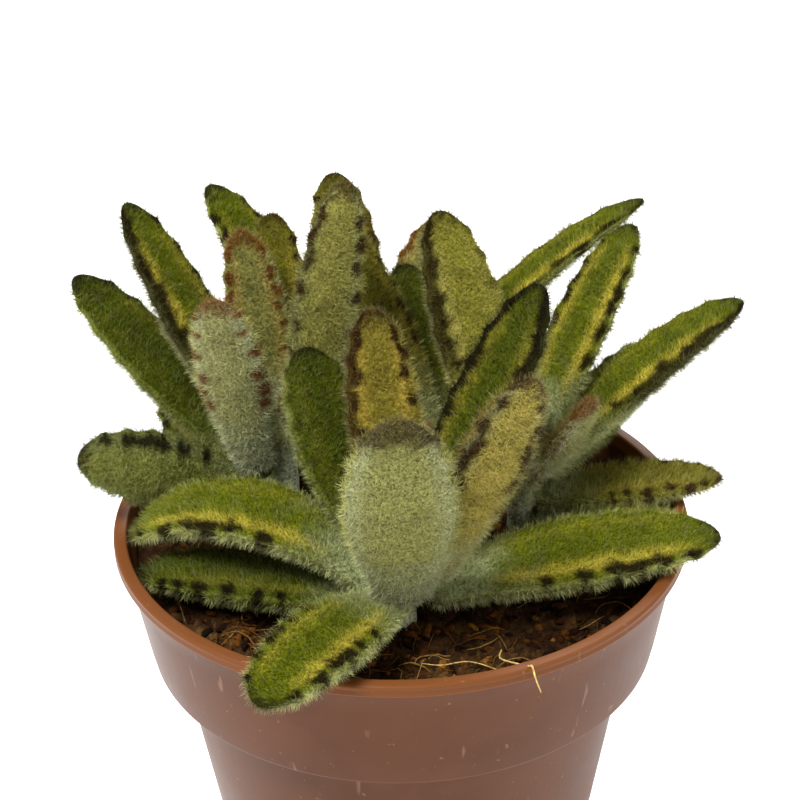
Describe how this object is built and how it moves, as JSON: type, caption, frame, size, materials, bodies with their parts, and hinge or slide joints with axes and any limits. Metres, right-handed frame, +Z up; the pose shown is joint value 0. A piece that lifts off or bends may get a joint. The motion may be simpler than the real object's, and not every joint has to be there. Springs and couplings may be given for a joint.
{
  "type": "potted panda plant",
  "caption": "Succulent with thick felted leaves, dark-toothed along their edges, growing in short rosettes from the coir soil of a round brown plastic nursery pot.",
  "frame": {"origin": "centre of the pot's flat base", "axes": "+Z up along the pot's axis; the plant's front, with the leaf that hangs over the lip, faces -Y"},
  "size_m": [0.1, 0.0981, 0.1221],
  "materials": {
    "pot_plastic": "satin",
    "coir_soil": "matte",
    "felted_stem": "felted",
    "felted_leaf": "felted"
  },
  "bodies": {
    "root": {"pot": "pot_plastic", "soil": "coir_soil", "stem_front": "felted_stem", "stem_left": "felted_stem", "stem_right": "felted_stem", "stem_middle": "felted_stem", "stem_back": "felted_stem", "leaf_front_01": "felted_leaf", "leaf_front_02": "felted_leaf", "leaf_front_03": "felted_leaf", "leaf_front_04": "felted_leaf", "leaf_front_05": "felted_leaf", "leaf_front_06": "felted_leaf", "leaf_front_07": "felted_leaf", "leaf_front_08": "felted_leaf", "leaf_front_09": "felted_leaf", "leaf_front_10": "felted_leaf", "leaf_left_01": "felted_leaf", "leaf_left_02": "felted_leaf", "leaf_left_03": "felted_leaf", "leaf_left_04": "felted_leaf", "leaf_left_05": "felted_leaf", "leaf_left_06": "felted_leaf", "leaf_left_07": "felted_leaf", "leaf_left_08": "felted_leaf", "leaf_right_01": "felted_leaf", "leaf_right_02": "felted_leaf", "leaf_right_03": "felted_leaf", "leaf_right_04": "felted_leaf", "leaf_right_05": "felted_leaf", "leaf_right_06": "felted_leaf", "leaf_right_07": "felted_leaf", "leaf_right_08": "felted_leaf", "leaf_right_09": "felted_leaf", "leaf_middle_01": "felted_leaf", "leaf_middle_02": "felted_leaf", "leaf_back_01": "felted_leaf", "leaf_back_02": "felted_leaf", "leaf_back_03": "felted_leaf", "leaf_back_04": "felted_leaf", "leaf_back_05": "felted_leaf", "leaf_back_06": "felted_leaf", "leaf_back_07": "felted_leaf"}
  },
  "joints": []
}
